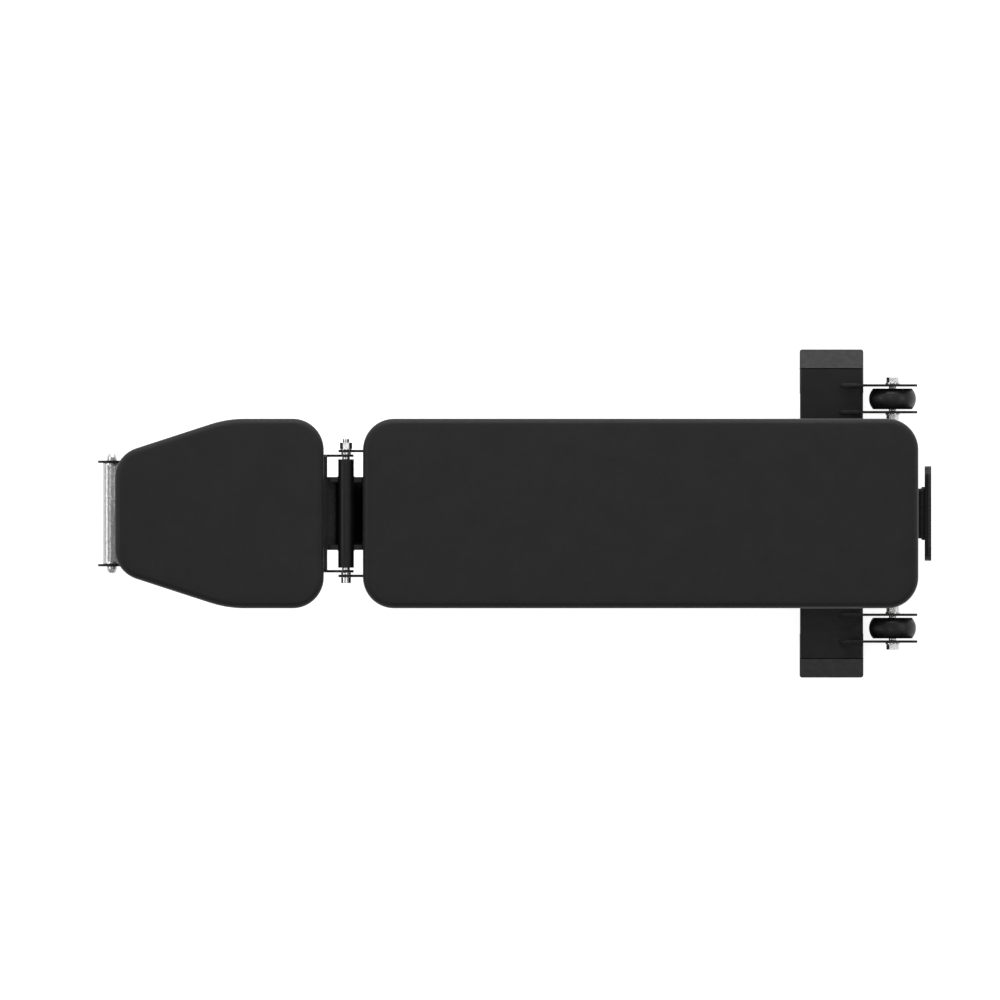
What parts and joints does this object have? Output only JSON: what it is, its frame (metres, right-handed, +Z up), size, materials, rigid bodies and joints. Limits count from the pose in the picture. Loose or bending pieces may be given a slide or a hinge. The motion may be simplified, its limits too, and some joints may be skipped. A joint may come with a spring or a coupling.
{
  "type": "adjustable weight bench",
  "caption": "Adjustable weight bench: tapered seat and long back pad on a post-and-spine frame, with ladder struts, a knurled lifting handle and transport wheels.",
  "frame": {"origin": "on the floor, at the middle of the bench's outline seen from above", "axes": "+X along the bench from the handle at the seat end to the wheels, +Y to the right of a person behind the wheels who faces the seat end, +Z up"},
  "size_m": [1.3418, 0.5284, 0.445],
  "materials": {
    "frame_paint": "satin black powder coat with a fine grain",
    "vinyl": "matt black grained vinyl",
    "foam": "high-density foam",
    "plywood": "plywood",
    "foot_rubber": "matt moulded rubber",
    "wheel_tread": "smooth black polyurethane",
    "black_plastic": "moulded black nylon",
    "zinc": "bright zinc plate",
    "knurled_steel": "diamond-knurled chromed steel",
    "bronze": "sintered bronze"
  },
  "bodies": {
    "frame": {"axle_bolts": "zinc", "axle_nuts": "zinc", "axle_sleeves": "zinc", "front_foot_soles": "foot_rubber", "front_foot_tube": "frame_paint", "front_post": "frame_paint", "handle_bar": "knurled_steel", "handle_inserts": "zinc", "handle_screws": "zinc", "left_back_ladder": "frame_paint", "left_foot_cap": "foot_rubber", "left_handle_plate": "frame_paint", "left_post_cheek": "frame_paint", "left_wheel_bracket": "frame_paint", "pivot_bolt": "zinc", "pivot_bushes": "bronze", "pivot_nut": "zinc", "pivot_spacers": "zinc", "pivot_tube": "frame_paint", "post_base_plate": "frame_paint", "post_top_cap": "frame_paint", "post_web": "frame_paint", "rear_foot_tube": "frame_paint", "rear_plate": "frame_paint", "rear_plate_rubber": "foot_rubber", "right_back_ladder": "frame_paint", "right_foot_cap": "foot_rubber", "right_handle_plate": "frame_paint", "right_post_cheek": "frame_paint", "right_wheel_bracket": "frame_paint", "seat_ladders": "frame_paint", "spine_front_plug": "black_plastic", "spine_tube": "frame_paint"},
    "seat": {"seat_cover": "vinyl", "seat_foam": "foam", "seat_board": "plywood", "seat_tee_nuts": "zinc", "seat_pad_bolts": "zinc", "seat_carrier": "frame_paint", "prop_pivot_rod": "zinc"},
    "back": {"back_cover": "vinyl", "back_foam": "foam", "back_board": "plywood", "back_tee_nuts": "zinc", "back_pad_bolts": "zinc", "back_carrier": "frame_paint", "strut_pivot_rod": "zinc"},
    "back_strut": {"strut_bars": "frame_paint", "strut_pin": "zinc", "strut_brace": "frame_paint"},
    "seat_prop": {"prop_bars": "frame_paint", "prop_pin": "zinc", "prop_brace": "frame_paint"},
    "right_wheel": {"right_wheel_tyre": "wheel_tread", "right_wheel_core": "black_plastic", "right_wheel_bearings": "zinc"},
    "left_wheel": {"left_wheel_tyre": "wheel_tread", "left_wheel_core": "black_plastic", "left_wheel_bearings": "zinc"}
  },
  "joints": [
    {"name": "back_tilt", "type": "hinge", "parent": "frame", "child": "back", "pos_m": [-0.2714, 0, 0.417], "axis": [0, -1, 0], "range_deg": [0, 85]},
    {"name": "seat_tilt", "type": "hinge", "parent": "frame", "child": "seat", "pos_m": [-0.2714, 0, 0.417], "axis": [0, 1, 0], "range_deg": [0, 15]},
    {"name": "strut_swing", "type": "hinge", "parent": "back", "child": "back_strut", "pos_m": [-0.0614, 0, 0.367], "axis": [0, 1, 0], "range_deg": [0, 118.15]},
    {"name": "prop_swing", "type": "hinge", "parent": "seat", "child": "seat_prop", "pos_m": [-0.4814, 0, 0.367], "axis": [0, -1, 0], "range_deg": [0, 34.5]},
    {"name": "right_wheel_spin", "type": "hinge", "parent": "frame", "child": "right_wheel", "pos_m": [0.6084, 0.1845, 0.043], "axis": [0, 1, 0], "continuous": true},
    {"name": "left_wheel_spin", "type": "hinge", "parent": "frame", "child": "left_wheel", "pos_m": [0.6084, -0.1845, 0.043], "axis": [0, 1, 0], "continuous": true}
  ],
  "couplings": [
    {"joint": "strut_swing", "follows": "back_tilt", "ratio": 1.39},
    {"joint": "prop_swing", "follows": "seat_tilt", "ratio": 2.3}
  ]
}
